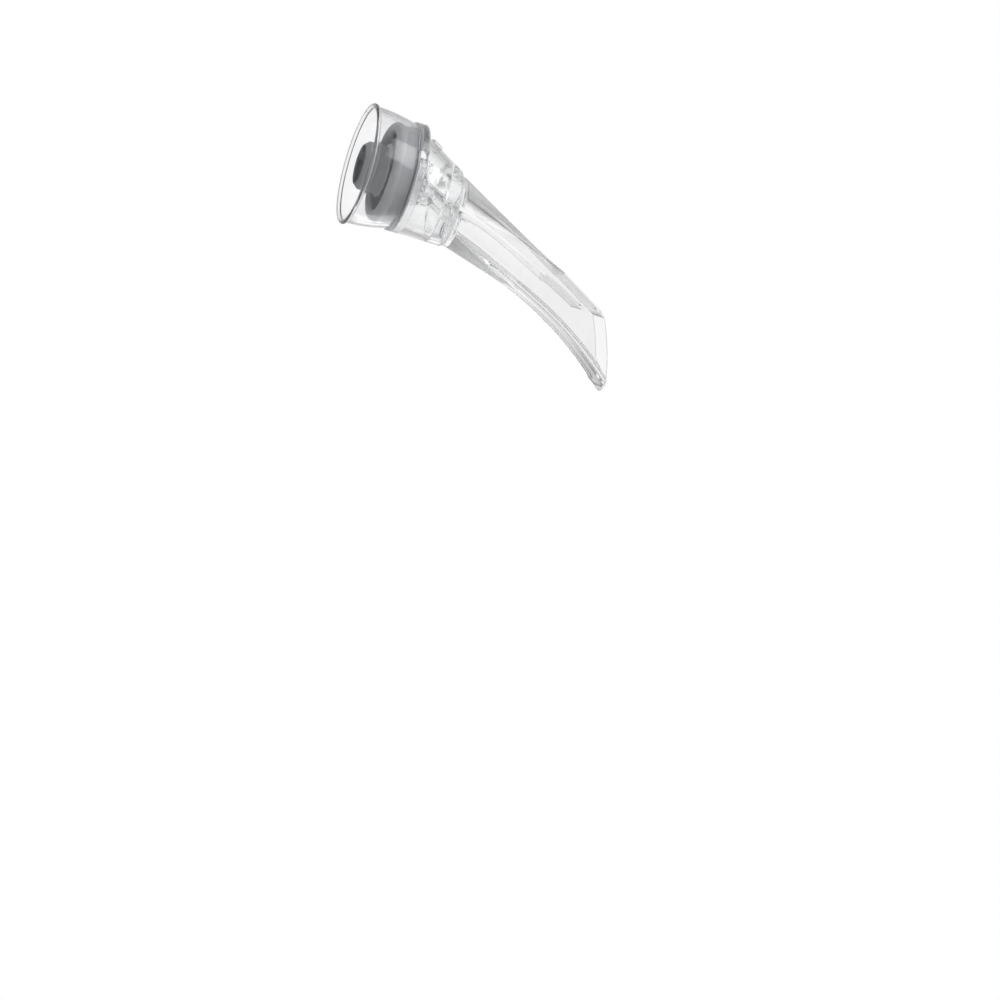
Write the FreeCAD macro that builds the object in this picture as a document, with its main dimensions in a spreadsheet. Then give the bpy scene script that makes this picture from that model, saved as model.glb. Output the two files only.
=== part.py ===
import FreeCAD, Part

import math
import os

import Sketcher
from FreeCAD import Placement, Rotation, Vector

# Wine aerator pourer, in millimetres. It stands on the rim of its skirt, with the bottle's axis
# along +Z and the spout on top, leaning towards +X. The origin is the middle of the rim's plane.
# Heights of a piece are measured in its own frame, and its Placement seats it on the piece below.

SIZES = {
    # How far a cut runs past the face that it leaves by.
    "cut_over": 1.0,
    # Skirt: the clear bell round the bottle's lip, from its rolled rim up to the seam.
    "rim_radius": 21.75,
    "rim_bead": 1.5,
    "rim_land": 0.6,
    "skirt_height": 17.6,
    "skirt_neck_radius": 18.9,
    "skirt_wall": 1.0,
    "skirt_flare_radius": 60.0,
    "flange_radius": 19.6,
    "skirt_flange_depth": 1.3,
    # Stopper: soft plug with fins, clamped disc, and the collar that grips outside the lip.
    "disc_radius": 18.5,
    "disc_depth": 0.7,
    "disc_play": 0.1,
    "plug_length": 15.9,
    "plug_radius": 8.6,
    "plug_tip_radius": 7.2,
    "plug_tip_taper": 1.6,
    "fin_radius": 9.6,
    "first_fin": 3.4,
    "fin_pitch": 4.6,
    "fin_root": 1.5,
    "fin_edge": 0.4,
    "fin_rise": 0.5,
    "collar_radius": 17.4,
    "collar_wall": 2.8,
    "collar_bead": 2.0,
    "collar_bead_height": 10.0,
    # Passages through stopper and nozzle: the wine on the pouring side, air back above it.
    "wine_offset": 2.55,
    "wine_radius": 4.5,
    "air_offset": 5.3,
    "air_radius": 1.35,
    # Chamber: the oblique clear cone above the seam.
    "chamber_height": 18.9,
    "chamber_flange_depth": 2.6,
    "chamber_foot_radius": 18.2,
    "chamber_foot_offset": 1.3,
    "chamber_top_radius": 13.85,
    "chamber_top_offset": 5.95,
    "chamber_wall": 2.1,
    "chamber_edge": 0.6,
    "flange_edge": 0.35,
    "port_radius": 2.2,
    "port_offset": 8.1,
    "port_rise": 0.7,
    "rib_start": 6.5,
    "rib_length": 3.3,
    "rib_rise": 0.7,
    "rib_width": 6.0,
    # Nozzle: inlet cup, air stack, funnel and leaning jet tube.
    "base_radius": 9.9,
    "base_depth": 1.2,
    "cup_radius": 8.2,
    "cup_height": 6.4,
    "stack_radius": 2.05,
    "stack_height": 8.4,
    "inlet_depth": 4.9,
    "throat_height": 9.4,
    "throat_offset": 3.05,
    "throat_radius": 1.95,
    "throat_length": 1.6,
    "shoulder_radius": 5.6,
    "jet_neck_radius": 3.5,
    "jet_outlet_radius": 2.5,
    "jet_wall": 1.3,
    "jet_lean": 24.5,
    "jet_collar_radius": 4.3,
    "jet_collar_height": 1.7,
    "jet_hole_radius": 1.0,
    # Spout: spigot in the chamber, flange, round-to-square body and open bill.
    "spigot_radius": 11.5,
    "spigot_wall": 1.8,
    "spigot_depth": 5.5,
    "spigot_play": 0.1,
    "spout_offset": 6.75,
    "spout_flange_radius": 12.65,
    "spout_flange_depth": 2.2,
    "spout_floor": 2.6,
    "spout_edge": 0.4,
    "socket_depth": 0.8,
    "socket_play": 0.1,
    "body_flat": 20.2,
    "bill_width": 16.4,
    "bill_wall": 1.2,
    "roof_bend_reach": 16.8,
    "roof_bend_height": 45.2,
    "roof_end_reach": 25.5,
    "roof_end_height": 60.7,
    "roof_nose_radius": 9.5,
    "mouth_reach": 30.2,
    "mouth_height": 64.5,
    "mouth_radius": 88.5,
    "keel_start_reach": 27.3,
    "keel_start_height": 29.1,
    "keel_start_angle": 20.3,
    "keel_end_angle": 41.8,
    "keel_radius": 130.0,
    "keel_wall": 1.3,
    "lip_run": 1.6,
    "lip_rise": 0.7,
    "lip_radius": 10.5,
    "channel_floor_angle": 25.3,
    "lip_over_angle": 6.0,
    "mouth_over": 12.0,
    "roof_wall": 1.2,
    "divider_foot_reach": 4.9,
    "divider_end_reach": 26.4,
    "divider_end_height": 54.7,
    "divider_radius": 330.0,
    "divider_wall": 1.2,
    "channel_corner": 2.5,
}


class Size:
    """A length or angle, kept as its number and as the sheet expression that gives it."""

    def __init__(self, text, value):
        self.text = text
        self.value = value

    def join(self, sign, other, value):
        other = as_size(other)
        return Size(f"({self.text} {sign} {other.text})", value(self.value, other.value))

    def __add__(self, other):
        return self.join("+", other, lambda a, b: a + b)

    def __radd__(self, other):
        return as_size(other) + self

    def __sub__(self, other):
        return self.join("-", other, lambda a, b: a - b)

    def __rsub__(self, other):
        return as_size(other) - self

    def __mul__(self, other):
        return self.join("*", other, lambda a, b: a * b)

    def __rmul__(self, other):
        return as_size(other) * self

    def __truediv__(self, other):
        return self.join("/", other, lambda a, b: a / b)

    def __neg__(self):
        return Size(f"(0 - {self.text})", -self.value)


def as_size(number):
    return number if isinstance(number, Size) else Size(repr(number), number)


def root(size):
    return Size(f"sqrt({size.text})", math.sqrt(size.value))


def sine(angle):
    return Size(f"sin({angle.text} * 1 deg)", math.sin(math.radians(angle.value)))


def cosine(angle):
    return Size(f"cos({angle.text} * 1 deg)", math.cos(math.radians(angle.value)))


def tangent(angle):
    return Size(f"tan({angle.text} * 1 deg)", math.tan(math.radians(angle.value)))


doc = FreeCAD.newDocument("wine_aerator_pourer")
sheet = doc.addObject("Spreadsheet::Sheet", "sizes")
for row, (name, number) in enumerate(SIZES.items(), start=1):
    sheet.set(f"A{row}", name)
    sheet.set(f"B{row}", str(number))
    sheet.setAlias(f"B{row}", name)
doc.recompute()


class Sizes:
    """Every cell of the sheet, by its alias."""

    def __getattr__(self, name):
        return Size(f"sizes.{name}", SIZES[name])


s = Sizes()


def bind(item, name, size):
    """Ties one property of an object to the sheet."""
    item.setExpression(name, size.text)


def new_body(label, height=None):
    """One sub-part, lifted to its seat above the rim's plane."""
    body = doc.addObject("PartDesign::Body", label)
    body.Label = label
    if height is not None:
        body.Placement = Placement(Vector(0, 0, height.value), Rotation())
        bind(body, "Placement.Base.z", height)
    return body


def new_sketch(body, name, role="XY_Plane", lift=None):
    """A sketch on one of the body's own planes, raised along that plane's normal."""
    sketch = body.newObject("Sketcher::SketchObject", name)
    plane = next(item for item in body.Origin.OriginFeatures if item.Role == role)
    sketch.AttachmentSupport = (plane, "")
    sketch.MapMode = "FlatFace"
    if lift is not None:
        sketch.AttachmentOffset = Placement(Vector(0, 0, lift.value), Rotation())
        bind(sketch, "AttachmentOffset.Base.z", lift)
    return sketch


def hold(sketch, kind, geometry, point, size):
    """Holds one coordinate of a point at a size, or on the sketch's axis where it is nought."""
    if not isinstance(size, Size):
        axis = -2 if kind == "DistanceX" else -1
        sketch.addConstraint(Sketcher.Constraint("PointOnObject", geometry, point, axis))
        return
    value = Sketcher.Constraint(kind, -1, 1, geometry, point, size.value)
    bind(sketch, f"Constraints[{sketch.addConstraint(value)}]", size)


def number_of(size):
    return size.value if isinstance(size, Size) else float(size)


def arc_through(start, end, radius):
    """The short arc between two points, turning left all the way, which is how sketches keep arcs."""
    chord = end - start
    right = Vector(chord.y, -chord.x, 0).normalize()
    rise = radius - math.sqrt(radius**2 - (chord.Length / 2) ** 2)
    return Part.Arc(start, (start + end) * 0.5 + right * rise, end)


def outline(sketch, corners, arcs=None):
    """A closed outline of straight edges. After each corner that arcs names comes an arc instead.

    Its side is 1 where it bulges to the left of the way round, and -1 where it bulges to the right.
    """
    arcs = arcs or {}
    places = [Vector(number_of(x), number_of(y), 0) for x, y in corners]
    ends = []
    for index, start in enumerate(places):
        end = places[(index + 1) % len(places)]
        if index in arcs:
            side, radius = arcs[index]
            if side > 0:
                ends.append((sketch.addGeometry(arc_through(end, start, radius.value)), 2, 1))
            else:
                ends.append((sketch.addGeometry(arc_through(start, end, radius.value)), 1, 2))
        else:
            ends.append((sketch.addGeometry(Part.LineSegment(start, end)), 1, 2))
    for index, (edge, first, last) in enumerate(ends):
        following, following_first, _ = ends[(index + 1) % len(ends)]
        sketch.addConstraint(Sketcher.Constraint("Coincident", edge, last, following, following_first))
    for index, (x, y) in enumerate(corners):
        edge, first, _ = ends[index]
        hold(sketch, "DistanceX", edge, first, x)
        hold(sketch, "DistanceY", edge, first, y)
        if index in arcs:
            radius = arcs[index][1]
            value = Sketcher.Constraint("Radius", edge, radius.value)
            bind(sketch, f"Constraints[{sketch.addConstraint(value)}]", radius)


def circle(sketch, x, radius, y=0):
    """A circle at a place on the sketch."""
    centre = Vector(number_of(x), number_of(y), 0)
    edge = sketch.addGeometry(Part.Circle(centre, Vector(0, 0, 1), radius.value))
    hold(sketch, "DistanceX", edge, 3, x)
    hold(sketch, "DistanceY", edge, 3, y)
    value = Sketcher.Constraint("Radius", edge, radius.value)
    bind(sketch, f"Constraints[{sketch.addConstraint(value)}]", radius)


def disc(body, name, x, radius, lift=None):
    """A sketch with one circle, for a pad, a pocket or a loft."""
    sketch = new_sketch(body, name, lift=lift)
    circle(sketch, x, radius)
    return sketch


def turn(body, name, sketch):
    """A full turn of the sketch round the bottle's axis."""
    feature = body.newObject("PartDesign::Revolution", name)
    feature.Profile = sketch
    feature.ReferenceAxis = (sketch, ["V_Axis"])
    feature.Angle = 360
    return feature


def pad(body, name, sketch, length, midplane=False):
    feature = body.newObject("PartDesign::Pad", name)
    feature.Profile = sketch
    bind(feature, "Length", length)
    feature.Midplane = midplane
    return feature


def pocket(body, name, sketch, length, midplane=False):
    """A cut that goes up from its sketch, or to both sides of it."""
    feature = body.newObject("PartDesign::Pocket", name)
    feature.Profile = sketch
    bind(feature, "Length", length)
    feature.Midplane = midplane
    feature.Reversed = not midplane
    return feature


def loft(body, name, first, last, cut=False):
    """A solid, or a cut, that goes straight from one section to the other."""
    kind = "PartDesign::SubtractiveLoft" if cut else "PartDesign::AdditiveLoft"
    feature = body.newObject(kind, name)
    feature.Profile = first
    feature.Sections = [last]
    feature.Ruled = True
    return feature


def round_edges(body, name, feature, radius, wanted):
    """A fillet on the edges of a feature that the test picks."""
    doc.recompute()
    edges = feature.Shape.Edges
    names = [f"Edge{number}" for number, edge in enumerate(edges, start=1) if wanted(edge)]
    rounded = body.newObject("PartDesign::Fillet", name)
    rounded.Base = (feature, names)
    bind(rounded, "Radius", radius)
    return rounded


def is_ring(edge, radius, height):
    """Whether an edge is a level circle of that size at that height in its body."""
    if not isinstance(edge.Curve, Part.Circle):
        return False
    near = abs(edge.Curve.Radius - number_of(radius)) < 0.01
    return near and abs(edge.Curve.Center.z - number_of(height)) < 0.01


seam_height = s.skirt_height
front_height = seam_height + s.chamber_height


def make_skirt():
    """Clear bell with a rolled rim. Its flange has a rebate that takes the stopper's disc."""
    body = new_body("skirt")
    profile = new_sketch(body, "skirt_profile", "XZ_Plane")
    half_bead = s.rim_bead / 2
    flange_foot = s.skirt_height - s.skirt_flange_depth
    rebate = s.disc_radius + s.disc_play
    rebate_floor = s.skirt_height - s.disc_depth
    inside = s.skirt_neck_radius - s.skirt_wall
    corners = [
        (s.skirt_neck_radius, flange_foot),
        (s.flange_radius, flange_foot),
        (s.flange_radius, s.skirt_height),
        (rebate, s.skirt_height),
        (rebate, rebate_floor),
        (inside, rebate_floor),
        (inside, flange_foot),
        (s.rim_radius - s.rim_bead, half_bead),
        (s.rim_radius - half_bead - s.rim_land / 2, 0),
        (s.rim_radius - half_bead + s.rim_land / 2, 0),
        (s.rim_radius, half_bead),
        (s.rim_radius - half_bead, s.rim_bead),
    ]
    arcs = {
        6: (1, s.skirt_flare_radius - s.skirt_wall),
        7: (-1, half_bead),
        9: (-1, half_bead),
        10: (-1, half_bead),
        11: (-1, s.skirt_flare_radius),
    }
    outline(profile, corners, arcs)
    bell = turn(body, "skirt_bell", profile)
    round_edges(
        body, "skirt_flange_edges", bell, s.flange_edge,
        lambda edge: any(is_ring(edge, s.flange_radius, height) for height in (flange_foot, s.skirt_height)),
    )
    add_ports(body, seam_height + s.port_rise)
    return body


def add_ports(body, height):
    """The round air port, drilled straight across through both sides of the flange."""
    sketch = new_sketch(body, f"{body.Label}_port_circle", "XZ_Plane")
    circle(sketch, -s.port_offset, s.port_radius, height)
    return pocket(body, f"{body.Label}_ports", sketch, (s.flange_radius + s.cut_over) * 2, midplane=True)


def make_stopper():
    """One soft moulding: finned plug, disc, and collar with a thick bead under the lip."""
    height = s.skirt_height - s.disc_depth - s.plug_length
    body = new_body("stopper", height)
    profile = new_sketch(body, "stopper_profile", "XZ_Plane")
    corners = [(0, 0), (s.plug_tip_radius, 0), (s.plug_radius, s.plug_tip_taper)]
    for number in range(3):
        fin = s.first_fin + s.fin_pitch * number
        corners += [
            (s.plug_radius, fin),
            (s.fin_radius, fin + s.fin_rise),
            (s.fin_radius, fin + s.fin_rise + s.fin_edge),
            (s.plug_radius, fin + s.fin_root),
        ]
    inner = s.collar_radius - s.collar_wall
    middle = s.collar_radius - s.collar_wall / 2
    join = s.collar_bead_height + root(s.collar_bead * s.collar_bead - s.collar_wall * s.collar_wall / 4)
    bead = len(corners) + 2
    corners += [
        (s.plug_radius, s.plug_length),
        (inner, s.plug_length),
        (inner, join),
        (middle, s.collar_bead_height - s.collar_bead),
        (s.collar_radius, join),
        (s.collar_radius, s.plug_length),
        (s.disc_radius, s.plug_length),
        (s.disc_radius, s.plug_length + s.disc_depth),
        (0, s.plug_length + s.disc_depth),
    ]
    outline(profile, corners, {bead: (-1, s.collar_bead), bead + 1: (-1, s.collar_bead)})
    turn(body, "stopper_body", profile)
    through = s.plug_length + s.disc_depth + s.cut_over
    wine = disc(body, "stopper_wine_circle", s.wine_offset, s.wine_radius)
    pocket(body, "stopper_wine_bore", wine, through)
    air = disc(body, "stopper_air_circle", -s.air_offset, s.air_radius)
    pocket(body, "stopper_air_bore", air, through)
    return body


def cone_at(height):
    """Radius and offset of the chamber's oblique cone at a height above the seam."""
    share = (height - s.chamber_flange_depth) / (s.chamber_height - s.chamber_flange_depth)
    radius = s.chamber_foot_radius + (s.chamber_top_radius - s.chamber_foot_radius) * share
    offset = s.chamber_foot_offset + (s.chamber_top_offset - s.chamber_foot_offset) * share
    return radius, offset


def make_chamber():
    """Clear oblique cone on a flange, hollow below, with a seat for the spout's spigot."""
    body = new_body("chamber", seam_height)
    flange = disc(body, "chamber_flange_circle", 0, s.flange_radius)
    pad(body, "chamber_flange", flange, s.chamber_flange_depth)
    foot = disc(
        body, "chamber_foot_circle", s.chamber_foot_offset, s.chamber_foot_radius, s.chamber_flange_depth
    )
    top = disc(body, "chamber_top_circle", s.chamber_top_offset, s.chamber_top_radius, s.chamber_height)
    cone = loft(body, "chamber_cone", foot, top)
    softened = round_edges(
        body, "chamber_front_edge", cone, s.chamber_edge,
        lambda edge: is_ring(edge, s.chamber_top_radius, s.chamber_height),
    )
    round_edges(
        body, "chamber_flange_edge", softened, s.flange_edge, lambda edge: is_ring(edge, s.flange_radius, 0)
    )
    rib = new_sketch(body, "chamber_rib_profile", "XZ_Plane")
    corners = []
    for height in (s.rib_start, s.rib_start + s.rib_length):
        radius, offset = cone_at(height)
        corners += [(offset - radius + s.chamber_wall / 2, height), (offset - radius - s.rib_rise, height)]
    outline(rib, [corners[0], corners[1], corners[3], corners[2]])
    pad(body, "chamber_rib", rib, s.rib_width, midplane=True)
    shoulder = s.chamber_height - s.spigot_depth
    low_radius, low_offset = cone_at(0)
    high_radius, high_offset = cone_at(shoulder)
    mouth = disc(body, "chamber_mouth_circle", low_offset, low_radius - s.chamber_wall)
    neck = disc(body, "chamber_neck_circle", high_offset, high_radius - s.chamber_wall, shoulder)
    loft(body, "chamber_hollow", mouth, neck, cut=True)
    seat = disc(body, "chamber_seat_circle", s.spout_offset, s.spigot_radius + s.spigot_play, shoulder)
    pocket(body, "chamber_seat", seat, s.spigot_depth + s.cut_over)
    add_ports(body, s.port_rise)
    return body


def jet_offset(height):
    """How far the jet tube's middle leans out at a height above the seam."""
    return s.throat_offset + tangent(s.jet_lean) * (height - s.throat_height)


def make_nozzle():
    """Clear insert: a cup over both passages, then a funnel into the leaning jet tube."""
    body = new_body("nozzle", seam_height)
    end_height = s.chamber_height + s.socket_depth - s.socket_play
    neck_height = s.throat_height + s.throat_length
    collar_foot = end_height - s.jet_collar_height
    neck_offset = jet_offset(neck_height)
    end_offset = jet_offset(s.chamber_height)
    tube_radius = s.jet_outlet_radius + s.jet_wall
    pad(body, "nozzle_base", disc(body, "nozzle_base_circle", 0, s.base_radius), s.base_depth)
    pad(body, "nozzle_cup", disc(body, "nozzle_cup_circle", 0, s.cup_radius), s.cup_height)
    stack = disc(body, "nozzle_stack_circle", -s.air_offset, s.stack_radius)
    pad(body, "nozzle_stack", stack, s.stack_height)
    shoulder = disc(body, "nozzle_shoulder_circle", s.wine_offset, s.shoulder_radius, s.cup_height)
    neck = disc(body, "nozzle_neck_circle", neck_offset, s.jet_neck_radius, neck_height)
    tube_end = disc(body, "nozzle_tube_circle", end_offset, tube_radius, s.chamber_height)
    loft(body, "nozzle_shoulder", shoulder, neck)
    loft(body, "nozzle_tube", neck, tube_end)
    collar = disc(body, "nozzle_collar_circle", end_offset, s.jet_collar_radius, collar_foot)
    pad(body, "nozzle_collar", collar, s.jet_collar_height)
    inlet = disc(body, "nozzle_inlet_circle", s.wine_offset, s.wine_radius)
    pocket(body, "nozzle_inlet", inlet, s.inlet_depth)
    funnel = disc(body, "nozzle_funnel_circle", s.wine_offset, s.wine_radius, s.inlet_depth)
    throat = disc(body, "nozzle_throat_circle", s.throat_offset, s.throat_radius, s.throat_height)
    jet_end = disc(body, "nozzle_jet_circle", jet_offset(end_height), s.jet_outlet_radius, end_height)
    loft(body, "nozzle_funnel", funnel, throat, cut=True)
    loft(body, "nozzle_jet", throat, jet_end, cut=True)
    air = disc(body, "nozzle_air_circle", -s.air_offset, s.air_radius)
    pocket(body, "nozzle_air_bore", air, s.stack_height + s.cut_over)
    hole = new_sketch(body, "nozzle_side_hole_circle", "XZ_Plane")
    circle(hole, neck_offset, s.jet_hole_radius, neck_height)
    pocket(body, "nozzle_side_holes", hole, s.cup_radius * 2, midplane=True)
    return body


def set_on_bend(sketch, reach, height):
    """Tilts a sketch into the slanted plane where the body ends and the bill begins."""
    angle = math.degrees(math.atan2(height.value, reach.value))
    offset = Vector(s.roof_bend_reach.value, 0, s.roof_bend_height.value)
    sketch.AttachmentOffset = Placement(offset, Rotation(Vector(0, 1, 0), angle))
    bind(sketch, "AttachmentOffset.Base.x", s.roof_bend_reach)
    bind(sketch, "AttachmentOffset.Base.z", s.roof_bend_height)
    sketch.setExpression("AttachmentOffset.Rotation.Angle", f"atan({height.text} / {reach.text})")


def keel_centre():
    """The middle of the keel's arc, out beyond the bill."""
    reach = s.keel_start_reach + s.keel_radius * cosine(s.keel_start_angle)
    return reach, s.keel_start_height - s.keel_radius * sine(s.keel_start_angle)


def keel_point(angle, radius):
    """A point of the keel's arc, or of one parallel to it, at the slope given by angle."""
    reach, height = keel_centre()
    return reach - radius * cosine(angle), height + radius * sine(angle)


def make_spout():
    """Clear beak: spigot and flange, a round-to-square body, and a bill open along its top."""
    body = new_body("spout", front_height)
    spigot = new_sketch(body, "spout_spigot_ring", lift=-s.spigot_depth)
    circle(spigot, s.spout_offset, s.spigot_radius)
    circle(spigot, s.spout_offset, s.spigot_radius - s.spigot_wall)
    pad(body, "spout_spigot", spigot, s.spigot_depth)
    flange_circle = disc(body, "spout_flange_circle", s.spout_offset, s.spout_flange_radius)
    pad(body, "spout_flange", flange_circle, s.spout_flange_depth)

    half_flat = s.body_flat / 2
    crease = root(s.spout_flange_radius * s.spout_flange_radius - half_flat * half_flat)
    half_width = s.bill_width / 2
    base = new_sketch(body, "spout_base_section", lift=s.spout_flange_depth)
    outline(
        base,
        [
            (s.spout_offset - crease, -half_flat),
            (s.spout_offset + crease, -half_flat),
            (s.spout_offset + crease, half_flat),
            (s.spout_offset - crease, half_flat),
        ],
        {number: (-1, s.spout_flange_radius) for number in range(4)},
    )
    drop_reach = s.keel_start_reach - s.roof_bend_reach
    drop_height = s.roof_bend_height - s.keel_start_height
    end = new_sketch(body, "spout_bend_section", lift=None)
    set_on_bend(end, drop_reach, drop_height)
    slant = root(drop_reach * drop_reach + drop_height * drop_height)
    outline(end, [(0, -half_width), (slant, -half_width), (slant, half_width), (0, half_width)])
    loft(body, "spout_transition", base, end)

    keel_end = keel_point(s.keel_end_angle, s.keel_radius)
    lip = keel_end[0] + s.lip_run, keel_end[1] + s.lip_rise
    bill = new_sketch(body, "spout_bill_profile", "XZ_Plane")
    outline(
        bill,
        [
            (s.roof_bend_reach, s.roof_bend_height),
            (s.roof_end_reach, s.roof_end_height),
            (s.mouth_reach, s.mouth_height),
            lip,
            keel_end,
            (s.keel_start_reach, s.keel_start_height),
        ],
        {1: (1, s.roof_nose_radius), 2: (1, s.mouth_radius), 4: (-1, s.keel_radius)},
    )
    pad(body, "spout_bill", bill, s.bill_width, midplane=True)
    round_lip(body, lip, half_width)
    round_edges(
        body, "spout_flange_edge", body.Tip, s.spout_edge,
        lambda edge: is_ring(edge, s.spout_flange_radius, 0),
    )
    cut_channel(body, lip, crease)

    jet_reach = jet_offset(s.chamber_height)
    socket = disc(body, "spout_socket_circle", jet_reach, s.jet_collar_radius + s.socket_play)
    pocket(body, "spout_socket", socket, s.socket_depth)
    hole_radius = s.jet_outlet_radius + s.socket_play
    hole_foot = disc(body, "spout_hole_foot", jet_reach, hole_radius)
    hole_end_height = s.spout_floor + s.socket_play
    hole_end = disc(
        body, "spout_hole_end", jet_offset(s.chamber_height + hole_end_height), hole_radius, hole_end_height
    )
    loft(body, "spout_hole", hole_foot, hole_end, cut=True)
    return body


def round_lip(body, lip, half_width):
    """Gives the pouring lip its round front, seen from above."""
    sketch = new_sketch(body, "spout_lip_plan")
    over = half_width + s.cut_over
    back = lip[0] - s.lip_radius + root(s.lip_radius * s.lip_radius - over * over)
    front = lip[0] + s.cut_over
    outline(sketch, [(back, -over), (back, over), (front, over), (front, -over)], {0: (-1, s.lip_radius)})
    pocket(body, "spout_lip_front", sketch, lip[1] + s.cut_over)


def cut_channel(body, lip, crease):
    """The square channel up the body and bill, parted by the divider that keeps air above the wine."""
    inner_radius = s.keel_radius + s.keel_wall
    floor_end = keel_point(s.channel_floor_angle, inner_radius)
    over_lip = keel_point(s.keel_end_angle + s.lip_over_angle, inner_radius)
    floor_foot = floor_end[0] - (floor_end[1] - s.spout_floor) * tangent(s.channel_floor_angle)
    crease_foot = s.spout_offset - crease
    crease_slope = (s.roof_bend_reach - crease_foot) / (s.roof_bend_height - s.spout_flange_depth)
    roof_foot = crease_foot + s.roof_wall + (s.spout_floor - s.spout_flange_depth) * crease_slope
    roof_slope = (s.roof_end_reach - s.roof_bend_reach) / (s.roof_end_height - s.roof_bend_height)
    over_height = lip[1] + s.mouth_over
    roof_over = s.roof_end_reach + s.roof_wall + (over_height - s.roof_end_height) * roof_slope
    profile = new_sketch(body, "spout_channel_profile", "XZ_Plane")
    corners = [
        (roof_foot, s.spout_floor),
        (s.roof_bend_reach + s.roof_wall, s.roof_bend_height),
        (roof_over, over_height),
        (over_lip[0], over_height),
        over_lip,
        floor_end,
        (floor_foot, s.spout_floor),
        (s.divider_foot_reach + s.divider_wall, s.spout_floor),
        (s.divider_end_reach + s.divider_wall, s.divider_end_height),
        (s.divider_end_reach, s.divider_end_height),
        (s.divider_foot_reach, s.spout_floor),
    ]
    outline(
        profile, corners, {4: (-1, inner_radius), 7: (1, s.divider_radius), 9: (-1, s.divider_radius)}
    )
    cut = pocket(body, "spout_channel", profile, s.bill_width - s.bill_wall * 2, midplane=True)
    side = s.bill_width / 2 - s.bill_wall
    round_edges(
        body, "spout_channel_corners", cut, s.channel_corner,
        lambda edge: on_channel_floor(edge, side, (floor_foot, s.spout_floor), floor_end, inner_radius),
    )


def on_channel_floor(edge, side, foot, run_end, radius):
    """Whether an edge is a long lower corner of the wine channel: its straight run or its arc."""
    middle = edge.valueAt((edge.FirstParameter + edge.LastParameter) / 2)
    if abs(abs(middle.y) - side.value) > 0.01:
        return False
    marks = keel_centre(), foot, run_end
    centre, low, high = (Vector(reach.value, 0, height.value) for reach, height in marks)
    flat = Vector(middle.x, 0, middle.z)
    off_run = flat.distanceToPoint(low) + flat.distanceToPoint(high) - low.distanceToPoint(high)
    off_arc = abs(flat.distanceToPoint(centre) - radius.value)
    return min(off_run, off_arc) < 0.001


def export(body):
    name = body.Label
    shape = body.Shape
    if shape.isNull() or not shape.isValid() or len(shape.Solids) != 1:
        raise RuntimeError(f"{name} has no valid single solid")
    shape.exportStep(f"parts/{name}.step")
    print(f"{name}: {shape.Volume:.1f} mm3")


pieces = [make_skirt(), make_stopper(), make_chamber(), make_nozzle(), make_spout()]
doc.recompute()
for item in doc.Objects:
    if {"Invalid", "Error"} & set(item.State):
        raise RuntimeError(f"{item.Name} failed: {item.State}")
os.makedirs("parts", exist_ok=True)
for piece in pieces:
    export(piece)
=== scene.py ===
from math import radians

import bpy
from mathutils import Matrix, Vector

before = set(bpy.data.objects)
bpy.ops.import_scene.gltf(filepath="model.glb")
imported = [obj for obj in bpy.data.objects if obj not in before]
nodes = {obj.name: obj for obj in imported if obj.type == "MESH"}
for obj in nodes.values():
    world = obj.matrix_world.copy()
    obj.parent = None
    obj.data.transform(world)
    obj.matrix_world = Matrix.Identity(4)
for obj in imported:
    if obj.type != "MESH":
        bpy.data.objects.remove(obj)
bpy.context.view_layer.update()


# The skirt is the thin clear bell that hangs round the stopper, with a rolled rim.
# It is injection moulded in clear acrylic, polished, and joined to the chamber at its flange.

def add_node(tree, kind, place, **values):
    """One node of a tree, with the values of its own settings and of its inputs."""
    node = tree.nodes.new(kind)
    node.location = place
    for name, value in values.items():
        if hasattr(node, name):
            setattr(node, name, value)
        else:
            node.inputs[name.replace("_", " ")].default_value = value
    return node


def new_group(name, inputs, outputs):
    """An empty shader group with named number inputs and outputs."""
    group = bpy.data.node_groups.new(name, "ShaderNodeTree")
    for label, value in inputs.items():
        socket = group.interface.new_socket(label, in_out="INPUT", socket_type="NodeSocketFloat")
        socket.default_value = value
    for label, kind in outputs.items():
        group.interface.new_socket(label, in_out="OUTPUT", socket_type=kind)
    start = group.nodes.new("NodeGroupInput")
    start.location = (-900, 0)
    end = group.nodes.new("NodeGroupOutput")
    end.location = (900, 0)
    return group, start, end


def join(tree, *links):
    """Wires sockets of one tree, given as pairs of an output and an input."""
    for source, target in links:
        tree.links.new(source, target)


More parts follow.
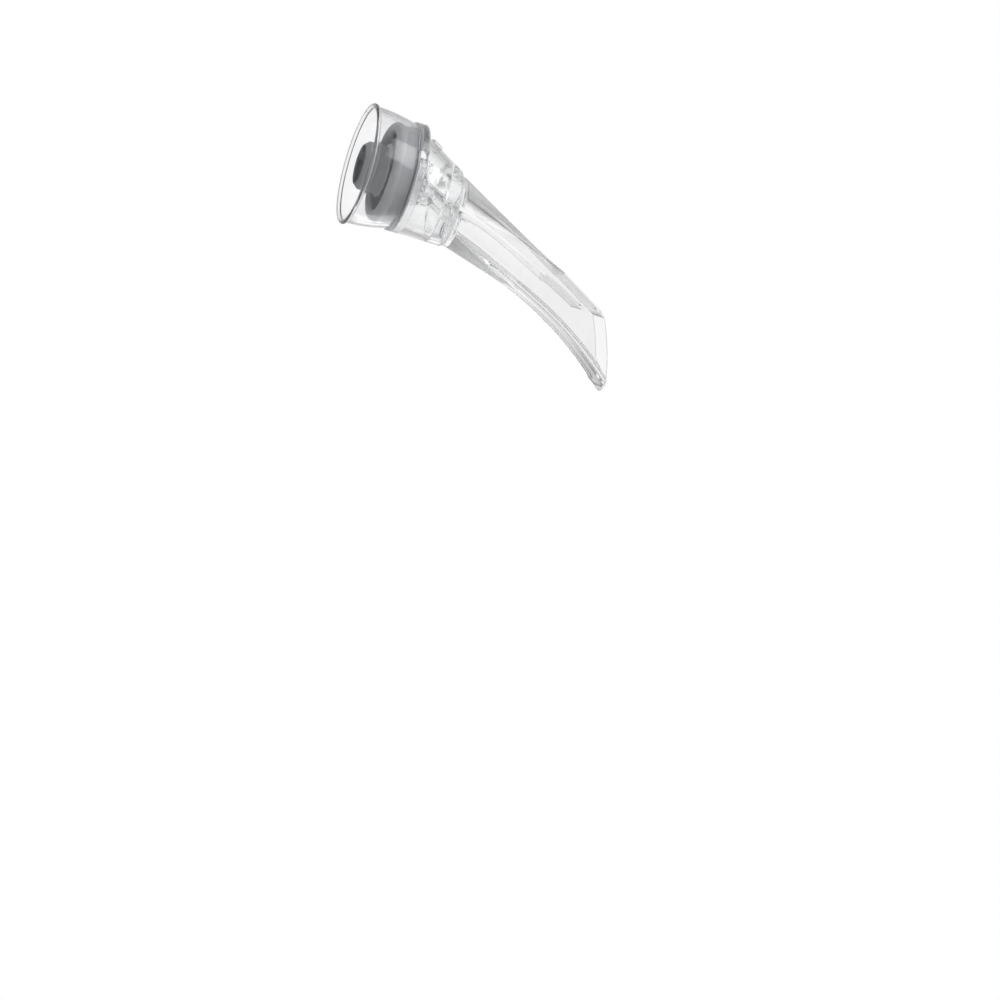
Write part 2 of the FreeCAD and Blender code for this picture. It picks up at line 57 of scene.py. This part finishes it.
def moulded_finish():
    """How a polished moulding looks close up: slow waves from cooling, hairlines and finger haze."""
    group, start, end = new_group(
        "moulded_finish",
        {"Gloss": 0.02, "Haze": 0.05, "Waves": 1.0, "Hairlines": 0.5},
        {"Roughness": "NodeSocketFloat", "Height": "NodeSocketFloat", "Shade": "NodeSocketFloat"},
    )
    place = add_node(group, "ShaderNodeTexCoord", (-900, 300)).outputs["Object"]
    waves = add_node(group, "ShaderNodeTexNoise", (-600, 400), Scale=55.0, Detail=1.5, Roughness=0.4)
    stretch = add_node(group, "ShaderNodeMapping", (-750, 50))
    stretch.inputs["Scale"].default_value = (260.0, 900.0, 40.0)
    stretch.inputs["Rotation"].default_value = (0.35, 0.2, 0.5)
    hairs = add_node(group, "ShaderNodeTexNoise", (-550, 50), Scale=1.0, Detail=3.0, Roughness=0.7)
    lines = add_node(group, "ShaderNodeMapRange", (-350, 50), From_Min=0.62, From_Max=0.72)
    smears = add_node(group, "ShaderNodeTexNoise", (-550, -250), Scale=110.0, Detail=4.0, Roughness=0.65)
    haze = add_node(group, "ShaderNodeMapRange", (-350, -250), From_Min=0.45, From_Max=0.75)
    high_waves = add_node(group, "ShaderNodeMath", (-150, 400), operation="MULTIPLY")
    high_lines = add_node(group, "ShaderNodeMath", (-150, 150), operation="MULTIPLY")
    height = add_node(group, "ShaderNodeMath", (150, 300), operation="SUBTRACT")
    rough_haze = add_node(group, "ShaderNodeMath", (-150, -200), operation="MULTIPLY")
    rough = add_node(group, "ShaderNodeMath", (150, -100), operation="ADD")
    shade = add_node(group, "ShaderNodeMapRange", (150, -350), From_Min=0.3, From_Max=0.7, To_Min=0.97)
    join(
        group,
        (place, waves.inputs["Vector"]), (place, stretch.inputs["Vector"]),
        (stretch.outputs["Vector"], hairs.inputs["Vector"]), (place, smears.inputs["Vector"]),
        (hairs.outputs["Fac"], lines.inputs["Value"]), (smears.outputs["Fac"], haze.inputs["Value"]),
        (waves.outputs["Fac"], high_waves.inputs[0]), (start.outputs["Waves"], high_waves.inputs[1]),
        (lines.outputs["Result"], high_lines.inputs[0]), (start.outputs["Hairlines"], high_lines.inputs[1]),
        (high_waves.outputs["Value"], height.inputs[0]), (high_lines.outputs["Value"], height.inputs[1]),
        (haze.outputs["Result"], rough_haze.inputs[0]), (start.outputs["Haze"], rough_haze.inputs[1]),
        (rough_haze.outputs["Value"], rough.inputs[0]), (start.outputs["Gloss"], rough.inputs[1]),
        (smears.outputs["Fac"], shade.inputs["Value"]),
        (rough.outputs["Value"], end.inputs["Roughness"]), (height.outputs["Value"], end.inputs["Height"]),
        (shade.outputs["Result"], end.inputs["Shade"]),
    )
    return group


finish_group = moulded_finish()


def matt_texture_with_painted_shade():
    """The fine matt texture that a mould leaves where it isn't polished: flange edges and facets, darkened
    there with a painted shade.
    """
    group, start, end = new_group(
        "matt_texture_with_painted_shade",
        {"Where": 0.0, "Coarse": 0.36, "PaintedShade": 0.82},
        {"Roughness": "NodeSocketFloat", "Shade": "NodeSocketFloat"},
    )
    place = add_node(group, "ShaderNodeTexCoord", (-900, 200)).outputs["Object"]
    grain = add_node(group, "ShaderNodeTexNoise", (-650, 200), Scale=1500.0, Detail=2.0)
    spread = add_node(group, "ShaderNodeMapRange", (-400, 200), From_Min=0.3, From_Max=0.7, To_Min=0.9)
    rough = add_node(group, "ShaderNodeMath", (-150, 200), operation="MULTIPLY")
    masked = add_node(group, "ShaderNodeMath", (150, 200), operation="MULTIPLY")
    # Painted shade: where the texture lies, the colour is darkened to the given value, for the grey that
    # frosted plastic shows from scattered light.
    shade = add_node(group, "ShaderNodeMapRange", (150, -100), To_Min=1.0)
    join(
        group,
        (place, grain.inputs["Vector"]), (grain.outputs["Fac"], spread.inputs["Value"]),
        (spread.outputs["Result"], rough.inputs[0]), (start.outputs["Coarse"], rough.inputs[1]),
        (rough.outputs[0], masked.inputs[0]), (start.outputs["Where"], masked.inputs[1]),
        (start.outputs["Where"], shade.inputs["Value"]), (start.outputs["PaintedShade"], shade.inputs["To Max"]),
        (masked.outputs[0], end.inputs["Roughness"]), (shade.outputs["Result"], end.inputs["Shade"]),
    )
    return group


matt_shade_group = matt_texture_with_painted_shade()


def painted_edge_shade():
    """Moulded edges are a little round; a painted shade puts a thin grey line along each of them, and along
    the given lines.
    """
    group, start, end = new_group("painted_edge_shade", {"Depth": 0.6, "Line": 0.0}, {"Shade": "NodeSocketFloat"})
    true = add_node(group, "ShaderNodeNewGeometry", (-800, 200))
    eased = add_node(group, "ShaderNodeBevel", (-800, -100), samples=2, Radius=0.00025)
    turn = add_node(group, "ShaderNodeVectorMath", (-550, 100), operation="DOT_PRODUCT")
    edge = add_node(group, "ShaderNodeMapRange", (-300, 100), From_Min=0.995, From_Max=0.90)
    painted_edge_darkness = add_node(group, "ShaderNodeMath", (-100, 100), operation="MULTIPLY")
    lined = add_node(group, "ShaderNodeMath", (100, 0), operation="MAXIMUM")
    shade = add_node(group, "ShaderNodeMath", (300, 100), operation="SUBTRACT")
    shade.inputs[0].default_value = 1.0
    join(
        group,
        (true.outputs["Normal"], turn.inputs[0]), (eased.outputs["Normal"], turn.inputs[1]),
        (turn.outputs["Value"], edge.inputs["Value"]), (edge.outputs["Result"], painted_edge_darkness.inputs[0]),
        (start.outputs["Depth"], painted_edge_darkness.inputs[1]), (painted_edge_darkness.outputs[0], lined.inputs[0]),
        (start.outputs["Line"], lined.inputs[1]), (lined.outputs[0], shade.inputs[1]),
        (shade.outputs[0], end.inputs["Shade"]),
    )
    return group


edge_shade_group = painted_edge_shade()


def clear_acrylic(name, tint, gloss, haze, waves):
    """Polished clear acrylic that lets lamps shine through it onto what lies behind."""
    material = bpy.data.materials.new(name)
    material.use_nodes = True
    tree = material.node_tree
    tree.nodes.clear()
    surface = add_node(tree, "ShaderNodeGroup", (-700, 0), node_tree=finish_group, name="surface")
    surface.inputs["Gloss"].default_value = gloss
    surface.inputs["Haze"].default_value = haze
    surface.inputs["Waves"].default_value = waves
    edges = add_node(tree, "ShaderNodeGroup", (-700, 250), node_tree=edge_shade_group, name="edges")
    # The finish's haze times the painted shade of the edges and lines.
    shade = add_node(tree, "ShaderNodeMath", (-450, 250), operation="MULTIPLY", name="shade")
    colour = add_node(tree, "ShaderNodeMix", (-250, 200), data_type="RGBA", blend_type="MULTIPLY")
    colour.name = "colour"
    colour.inputs["Factor"].default_value = 1.0
    colour.inputs[6].default_value = (*tint, 1.0)
    bump = add_node(tree, "ShaderNodeBump", (-250, -200), Strength=0.12, Distance=0.0004)
    plastic = add_node(tree, "ShaderNodeBsdfPrincipled", (0, 0), IOR=1.49, name="plastic")
    plastic.inputs["Transmission Weight"].default_value = 1.0
    see_through = add_node(tree, "ShaderNodeBsdfTransparent", (0, -350), Color=(0.86, 0.88, 0.89, 1.0))
    path = add_node(tree, "ShaderNodeLightPath", (0, 400))
    mix = add_node(tree, "ShaderNodeMixShader", (300, 0))
    out = add_node(tree, "ShaderNodeOutputMaterial", (500, 0))
    join(
        tree,
        (surface.outputs["Shade"], shade.inputs[0]), (edges.outputs["Shade"], shade.inputs[1]),
        (shade.outputs[0], colour.inputs[7]), (colour.outputs[2], plastic.inputs["Base Color"]),
        (surface.outputs["Roughness"], plastic.inputs["Roughness"]),
        (surface.outputs["Height"], bump.inputs["Height"]),
        (bump.outputs["Normal"], plastic.inputs["Normal"]),
        (path.outputs["Is Shadow Ray"], mix.inputs[0]), (plastic.outputs["BSDF"], mix.inputs[1]),
        (see_through.outputs["BSDF"], mix.inputs[2]), (mix.outputs["Shader"], out.inputs["Surface"]),
    )
    return material


def leave_matt_with_painted_shade(material, where, coarse, painted_shade):
    """Leaves the mould's matt texture on a clear piece where the mask is 1, with a painted shade that darkens
    it there.
    """
    tree = material.node_tree
    satin = add_node(tree, "ShaderNodeGroup", (-700, -250), node_tree=matt_shade_group)
    satin.inputs["Coarse"].default_value = coarse
    satin.inputs["PaintedShade"].default_value = painted_shade
    rough = add_node(tree, "ShaderNodeMath", (-450, -50), operation="ADD")
    shading = add_node(tree, "ShaderNodeMath", (-450, 100), operation="MULTIPLY")
    join(
        tree,
        (where, satin.inputs["Where"]),
        (tree.nodes["surface"].outputs["Roughness"], rough.inputs[0]),
        (satin.outputs["Roughness"], rough.inputs[1]),
        (rough.outputs[0], tree.nodes["plastic"].inputs["Roughness"]),
        (tree.nodes["shade"].outputs[0], shading.inputs[0]), (satin.outputs["Shade"], shading.inputs[1]),
        (shading.outputs[0], tree.nodes["colour"].inputs[7]),
    )


def paint_shade_lines(material, lines):
    """Paints grey lines of shade on a clear piece, along a seam or a corner."""
    join(material.node_tree, (lines, material.node_tree.nodes["edges"].inputs["Line"]))


def own_place(tree):
    """Where a point of the piece lies, in metres from the middle of the skirt's rim."""
    return add_node(tree, "ShaderNodeTexCoord", (-1900, -500)).outputs["Object"]


def past_plane(tree, place, normal, reach, row):
    """1 on the far side of a flat plane through the piece, nought on the near side."""
    along = add_node(tree, "ShaderNodeVectorMath", (-1500, row), operation="DOT_PRODUCT")
    along.inputs[1].default_value = normal
    past = add_node(tree, "ShaderNodeMath", (-1300, row), operation="GREATER_THAN")
    past.inputs[1].default_value = reach
    join(tree, (place, along.inputs[0]), (along.outputs["Value"], past.inputs[0]))
    return past.outputs[0]


def above(tree, place, height, row):
    """1 above a height over the skirt's rim, nought below it."""
    return past_plane(tree, place, (0.0, 0.0, 1.0), height, row)


def below(tree, place, height, row):
    """1 below a height over the skirt's rim, nought above it."""
    return past_plane(tree, place, (0.0, 0.0, -1.0), -height, row)


def past_radius(tree, place, middle, across, radius, row):
    """1 further than a radius from a line through the middle, nought nearer to it."""
    flat = add_node(tree, "ShaderNodeVectorMath", (-1700, row), operation="MULTIPLY")
    flat.inputs[1].default_value = across
    away = add_node(tree, "ShaderNodeVectorMath", (-1500, row), operation="DISTANCE")
    away.inputs[1].default_value = middle
    past = add_node(tree, "ShaderNodeMath", (-1300, row), operation="GREATER_THAN")
    past.inputs[1].default_value = radius
    join(tree, (place, flat.inputs[0]), (flat.outputs[0], away.inputs[0]))
    join(tree, (away.outputs["Value"], past.inputs[0]))
    return past.outputs[0]


def outside(tree, place, radius, row):
    """1 further than a radius from the skirt's upright axis, nought nearer to it."""
    return past_radius(tree, place, (0.0, 0.0, 0.0), (1.0, 1.0, 0.0), radius, row)


def grey_by_height(tree, place, low, high, at_low, at_high, row):
    """A grey that changes evenly between two heights and stays as it is past them."""
    axes = add_node(tree, "ShaderNodeSeparateXYZ", (-1500, row))
    grey = add_node(tree, "ShaderNodeMapRange", (-1300, row), From_Min=low, From_Max=high)
    grey.inputs["To Min"].default_value = at_low
    grey.inputs["To Max"].default_value = at_high
    join(tree, (place, axes.inputs[0]), (axes.outputs["Z"], grey.inputs["Value"]))
    return grey.outputs["Result"]


def combine(tree, first, second, operation, row):
    """Two masks in one: MULTIPLY for both, MAXIMUM for either, SUBTRACT for the first alone."""
    mix = add_node(tree, "ShaderNodeMath", (-1100, row), operation=operation)
    join(tree, (first, mix.inputs[0]), (second, mix.inputs[1]))
    return mix.outputs[0]


def dress(node, material):
    """Puts one material on every slot of a node."""
    for slot in nodes[node].material_slots:
        slot.material = material


seam_height = 0.0176
flange_underside = 0.0162
bell_shoulder_radius = 0.0182
flange_rim_radius = 0.0214
seam_line_width = 0.00045
painted_seam_shade = 0.8
# The flanges are matt and a little darker, a painted shade.
flange_coarse = 0.24
flange_painted_shade = 0.97

skirt_acrylic = clear_acrylic("skirt_acrylic", tint=(0.985, 0.985, 0.995), gloss=0.004, haze=0.02, waves=0.12)
tree = skirt_acrylic.node_tree
place = own_place(tree)
flange_side = outside(tree, place, bell_shoulder_radius, -500)
flange_height = above(tree, place, flange_underside, -700)
flange = combine(tree, flange_side, flange_height, "MULTIPLY", -600)
leave_matt_with_painted_shade(skirt_acrylic, flange, flange_coarse, flange_painted_shade)
# A painted shade line just under the seam, round the flange's rim.
line_foot = seam_height - seam_line_width
seam_shade_line = grey_by_height(tree, place, line_foot, seam_height, 0.0, painted_seam_shade, -900)
rim = outside(tree, place, flange_rim_radius, -1100)
paint_shade_lines(skirt_acrylic, combine(tree, seam_shade_line, rim, "MULTIPLY", -800))
dress("skirt", skirt_acrylic)


# The stopper is one soft moulding: finned plug, clamped disc, and a collar with a thick bead.
# It is milky grey translucent silicone, satin, with a cloudy tone.

silicone = bpy.data.materials.new("milky_silicone")
silicone.use_nodes = True
tree = silicone.node_tree
rubber = tree.nodes["Principled BSDF"]
place = add_node(tree, "ShaderNodeTexCoord", (-1200, 0)).outputs["Object"]
cloud = add_node(tree, "ShaderNodeTexNoise", (-900, 200), Scale=90.0, Detail=3.0, Roughness=0.55)
colour = add_node(tree, "ShaderNodeValToRGB", (-600, 200))
colour.color_ramp.elements[0].color = (0.54, 0.55, 0.56, 1.0)
colour.color_ramp.elements[0].position = 0.3
colour.color_ramp.elements[1].color = (0.66, 0.665, 0.67, 1.0)
colour.color_ramp.elements[1].position = 0.7
grain = add_node(tree, "ShaderNodeTexNoise", (-900, -200), Scale=2600.0, Detail=2.0, Roughness=0.6)
satin = add_node(tree, "ShaderNodeMapRange", (-600, -50), From_Min=0.3, From_Max=0.7, To_Min=0.34, To_Max=0.5)
bump = add_node(tree, "ShaderNodeBump", (-300, -300), Strength=0.25, Distance=0.00008)
rubber.inputs["Transmission Weight"].default_value = 0.25
rubber.inputs["Subsurface Weight"].default_value = 0.35
rubber.inputs["Subsurface Radius"].default_value = (1.0, 1.0, 1.0)
rubber.inputs["Subsurface Scale"].default_value = 0.002
rubber.inputs["IOR"].default_value = 1.41
join(
    tree,
    (place, cloud.inputs["Vector"]), (place, grain.inputs["Vector"]),
    (cloud.outputs["Fac"], colour.inputs["Fac"]), (colour.outputs["Color"], rubber.inputs["Base Color"]),
    (cloud.outputs["Fac"], satin.inputs["Value"]), (satin.outputs["Result"], rubber.inputs["Roughness"]),
    (grain.outputs["Fac"], bump.inputs["Height"]), (bump.outputs["Normal"], rubber.inputs["Normal"]),
)
dress("stopper", silicone)


# The nozzle is a clear insert with an inlet cup, the air stack and the leaning jet tube.
# It is moulded in the same acrylic and pressed in against the stopper's disc.

nozzle_acrylic = clear_acrylic("nozzle_acrylic", tint=(0.985, 0.99, 0.99), gloss=0.006, haze=0.03, waves=0.15)
dress("nozzle", nozzle_acrylic)


# The chamber is the hollow oblique cone over the nozzle, with its air port and a small rib.
# It is moulded in clear acrylic and its flange is welded to the skirt's.

cone_foot_radius = 0.0160
flange_top = 0.02025
front_edge_height = 0.0356

chamber_acrylic = clear_acrylic(
    "chamber_acrylic", tint=(0.985, 0.99, 0.99), gloss=0.004, haze=0.018, waves=0.1
)
tree = chamber_acrylic.node_tree
place = own_place(tree)
flange_side = outside(tree, place, cone_foot_radius, -500)
flange_height = below(tree, place, flange_top, -700)
flange = combine(tree, flange_side, flange_height, "MULTIPLY", -600)
front_edge = above(tree, place, front_edge_height, -900)
leave_matt_with_painted_shade(chamber_acrylic, combine(tree, flange, front_edge, "MAXIMUM", -800), flange_coarse, flange_painted_shade)
# A painted shade line just under the flange's top, round its rim.
line_foot = flange_top - seam_line_width
flange_top_shade_line = grey_by_height(tree, place, line_foot, flange_top, 0.0, painted_seam_shade, -1100)
rim = outside(tree, place, flange_rim_radius, -1300)
paint_shade_lines(chamber_acrylic, combine(tree, flange_top_shade_line, rim, "MULTIPLY", -1000))
dress("chamber", chamber_acrylic)


# The spout is the clear beak that pours: round outside at its foot, square inside, open at its lip.
# It is moulded in clear acrylic, and its spigot is pressed into the chamber's front.

def left_of(tree, place, start, end, shift, row):
    """1 to the left of a line on the spout's side view, moved towards the lip by the shift."""
    run = Vector((end[0] - start[0], 0.0, end[1] - start[1])).normalized()
    normal = Vector((-run.z, 0.0, run.x))
    reach = normal.x * (start[0] + shift) + normal.z * start[1]
    return past_plane(tree, place, normal, reach, row)


spout_foot_height = 0.0388
foot_line_width = 0.0004
roof_bend = (0.0168, 0.0817)
keel_bend = (0.0273, 0.0656)
top_facet_foot = (0.000833, 0.0387)
top_facet_end = (0.01695, 0.0817)
facet_line_width = 0.00037
line_grey_at_foot = 0.726
line_grey_at_bend = 0.532
low_facet_foot = (0.014907, 0.0387)
low_facet_end = (0.02784, 0.0656)
low_facet_fade_height = 0.058
low_facet_shade_grey = 0.5
mouth_arc_middle = (0.06638, 0.0, 0.02023)
mouth_arc_radius = 0.08847

spout_acrylic = clear_acrylic("spout_acrylic", tint=(0.99, 0.99, 0.995), gloss=0.003, haze=0.015, waves=0.08)
tree = spout_acrylic.node_tree
place = own_place(tree)
over_flange = above(tree, place, spout_foot_height, -800)
under_bill = left_of(tree, place, keel_bend, roof_bend, 0.0, -1000)
body = combine(tree, over_flange, under_bill, "MULTIPLY", -900)
top_facet = left_of(tree, place, top_facet_foot, top_facet_end, 0.0, -400)
low_facet = left_of(tree, place, low_facet_end, low_facet_foot, 0.0, -600)
facets = combine(tree, combine(tree, top_facet, low_facet, "MAXIMUM", -500), body, "MULTIPLY", -700)
mouth_edge = past_radius(tree, place, mouth_arc_middle, (1.0, 0.0, 1.0), mouth_arc_radius, -1200)
# The facets and the lip's edge are matt, and darkened with a painted shade.
leave_matt_with_painted_shade(spout_acrylic, combine(tree, facets, mouth_edge, "MAXIMUM", -1100), coarse=0.36, painted_shade=0.82)

# Painted shade lines along the top facet's edge and at its foot, paler towards the bend.
top_facet_and_line = left_of(tree, place, top_facet_foot, top_facet_end, facet_line_width, -200)
facet_shade_line = combine(tree, top_facet_and_line, top_facet, "SUBTRACT", -200)
foot = below(tree, place, spout_foot_height + foot_line_width, 0)
foot_shade_line = combine(tree, foot, top_facet, "MULTIPLY", 0)
lines = combine(tree, facet_shade_line, foot_shade_line, "MAXIMUM", -100)
line_grey = grey_by_height(
    tree, place, spout_foot_height, roof_bend[1], line_grey_at_foot, line_grey_at_bend, -1800
)
drawn = combine(tree, lines, line_grey, "MULTIPLY", -1700)
# A painted shade on the low facet, darkest at the beak's foot and gone by the fade height.
low_grey = grey_by_height(
    tree, place, spout_foot_height, low_facet_fade_height, low_facet_shade_grey, 0.0, -1600
)
low_facet_painted_shade = combine(tree, low_grey, low_facet, "MULTIPLY", -1500)
greys = combine(tree, drawn, low_facet_painted_shade, "MAXIMUM", -1400)
paint_shade_lines(spout_acrylic, combine(tree, greys, body, "MULTIPLY", -1300))
dress("spout", spout_acrylic)


# The stage is a pale floor under the rim, a white studio with dark flags, and soft lamps.
# The clear plastic mirrors and bends the flags and the grey screen, so its edges show in grey.
# The camera is turned on its side, because the part is seen as it pours.

floor_radius = 3.0
floor_middle = (0.02, 0.0, -0.0002)

bpy.ops.mesh.primitive_circle_add(vertices=96, radius=floor_radius, fill_type="NGON", location=floor_middle)
floor = bpy.context.object
floor.name = "pale_floor"
pale = bpy.data.materials.new("pale_floor")
pale.use_nodes = True
tree = pale.node_tree
matt = tree.nodes["Principled BSDF"]
matt.inputs["Roughness"].default_value = 0.7
matt.inputs["Specular IOR Level"].default_value = 0.2
place = add_node(tree, "ShaderNodeTexCoord", (-900, 0)).outputs["Object"]
mottle = add_node(tree, "ShaderNodeTexNoise", (-700, 0), Scale=14.0, Detail=4.0)
shade = add_node(tree, "ShaderNodeValToRGB", (-400, 0))
shade.color_ramp.elements[0].color = (0.84, 0.84, 0.84, 1.0)
shade.color_ramp.elements[1].color = (0.88, 0.88, 0.88, 1.0)
side = add_node(tree, "ShaderNodeNewGeometry", (0, 300))
unseen = add_node(tree, "ShaderNodeBsdfTransparent", (0, -400))
mix = add_node(tree, "ShaderNodeMixShader", (350, 0))
join(
    tree,
    (place, mottle.inputs["Vector"]), (mottle.outputs["Fac"], shade.inputs["Fac"]),
    (shade.outputs["Color"], matt.inputs["Base Color"]),
    (side.outputs["Backfacing"], mix.inputs[0]), (matt.outputs["BSDF"], mix.inputs[1]),
    (unseen.outputs["BSDF"], mix.inputs[2]),
    (mix.outputs["Shader"], tree.nodes["Material Output"].inputs["Surface"]),
)
floor.data.materials.append(pale)

flag_count = 8.0
screen_direction = (0.0, 0.968, 0.252)
screen_greys = ((0.25, 0.36), (0.80, 0.50), (0.94, 0.60), (0.980, 0.80), (0.990, 1.0))
room_light = 0.72

world = bpy.data.worlds.new("studio")
bpy.context.scene.world = world
world.use_nodes = True
tree = world.node_tree
tree.nodes.clear()
direction = add_node(tree, "ShaderNodeTexCoord", (-1400, 0))
axes = add_node(tree, "ShaderNodeSeparateXYZ", (-1200, 0))
azimuth = add_node(tree, "ShaderNodeMath", (-1000, 100), operation="ARCTAN2")
repeated = add_node(tree, "ShaderNodeMath", (-800, 100), operation="MULTIPLY")
repeated.inputs[1].default_value = flag_count
wave = add_node(tree, "ShaderNodeMath", (-600, 100), operation="COSINE")
flags = add_node(tree, "ShaderNodeMapRange", (-400, 100), From_Min=-0.6, From_Max=0.2, To_Min=0.3, To_Max=1.0)
towards = add_node(tree, "ShaderNodeVectorMath", (-1000, -300), operation="DOT_PRODUCT")
towards.inputs[1].default_value = screen_direction
screen = add_node(tree, "ShaderNodeValToRGB", (-700, -300))
screen.color_ramp.elements[0].position = 0.0
screen.color_ramp.elements[0].color = (0.30, 0.30, 0.31, 1.0)
for position, grey in screen_greys:
    screen.color_ramp.elements.new(position).color = (grey, grey, grey, 1.0)
screen.color_ramp.elements[-1].color = (1.0, 1.0, 1.0, 1.0)
high = add_node(tree, "ShaderNodeMapRange", (-400, -200), From_Min=0.08, From_Max=0.14)
overhead = add_node(tree, "ShaderNodeMapRange", (-400, -500), From_Min=0.8, From_Max=0.93)
low = add_node(tree, "ShaderNodeMix", (-150, 0), data_type="FLOAT")
studio = add_node(tree, "ShaderNodeMix", (50, 0), data_type="FLOAT")
studio.inputs[3].default_value = 1.0
path = add_node(tree, "ShaderNodeLightPath", (-200, 500))
glassy = add_node(tree, "ShaderNodeMath", (50, 400), operation="MAXIMUM")
seen = add_node(tree, "ShaderNodeMix", (300, 200), data_type="FLOAT")
seen.inputs[2].default_value = room_light
shown = add_node(tree, "ShaderNodeMix", (500, 300), data_type="FLOAT")
shown.inputs[3].default_value = 1.0
light = add_node(tree, "ShaderNodeBackground", (700, 0), Color=(1.0, 1.0, 1.0, 1.0))
out = add_node(tree, "ShaderNodeOutputWorld", (900, 0))
join(
    tree,
    (direction.outputs["Generated"], axes.inputs[0]), (direction.outputs["Generated"], towards.inputs[0]),
    (axes.outputs["Y"], azimuth.inputs[0]), (axes.outputs["X"], azimuth.inputs[1]),
    (azimuth.outputs[0], repeated.inputs[0]), (repeated.outputs[0], wave.inputs[0]),
    (wave.outputs[0], flags.inputs["Value"]), (axes.outputs["Z"], high.inputs["Value"]),
    (axes.outputs["Z"], overhead.inputs["Value"]), (towards.outputs["Value"], screen.inputs["Fac"]),
    (high.outputs["Result"], low.inputs[0]), (flags.outputs["Result"], low.inputs[2]),
    (screen.outputs["Color"], low.inputs[3]), (low.outputs[0], studio.inputs[2]),
    (overhead.outputs["Result"], studio.inputs[0]), (path.outputs["Is Glossy Ray"], glassy.inputs[0]),
    (path.outputs["Is Transmission Ray"], glassy.inputs[1]),
    (glassy.outputs[0], seen.inputs[0]), (studio.outputs[0], seen.inputs[3]),
    (path.outputs["Is Camera Ray"], shown.inputs[0]), (seen.outputs[0], shown.inputs[2]),
    (shown.outputs[0], light.inputs["Strength"]), (light.outputs[0], out.inputs["Surface"]),
)


def softbox(name, place, aim, size, watts):
    """A square lamp with a soft edge, out of the camera's own sight."""
    lamp = bpy.data.lights.new(name, "AREA")
    lamp.size = size
    lamp.energy = watts
    box = bpy.data.objects.new(name, lamp)
    box.location = place
    box.rotation_euler = (Vector(aim) - Vector(place)).to_track_quat("-Z", "Y").to_euler()
    box.visible_camera = False
    bpy.context.scene.collection.objects.link(box)


part_middle = (0.015, 0.0, 0.055)
softbox("key_lamp", place=(-1.2, -1.0, 1.5), aim=part_middle, size=1.6, watts=18.0)
softbox("fill_lamp", place=(1.3, 1.0, 1.2), aim=part_middle, size=1.6, watts=9.0)

camera_azimuth = -4.79369
camera_elevation = -16.07409
camera_roll = 104.72965
camera_distance = 1.041768
frame_middle = (0.101187, 0.0, 0.083752)

lens = bpy.data.cameras.new("camera")
lens.sensor_width = 36.0
lens.lens = 104.4
lens.clip_start = 0.01
camera = bpy.data.objects.new("camera", lens)
swing = Matrix.Rotation(radians(camera_azimuth), 4, "Z")
tilt = Matrix.Rotation(radians(90.0 - camera_elevation), 4, "X")
roll = Matrix.Rotation(radians(camera_roll), 4, "Z")
stand_off = Matrix.Translation((0.0, 0.0, camera_distance))
camera.matrix_world = Matrix.Translation(frame_middle) @ swing @ tilt @ roll @ stand_off
bpy.context.scene.collection.objects.link(camera)
bpy.context.scene.camera = camera
bpy.context.scene.view_settings.view_transform = "Standard"
bpy.context.scene.cycles.max_bounces = 24
bpy.context.scene.cycles.glossy_bounces = 16
bpy.context.scene.cycles.transmission_bounces = 16
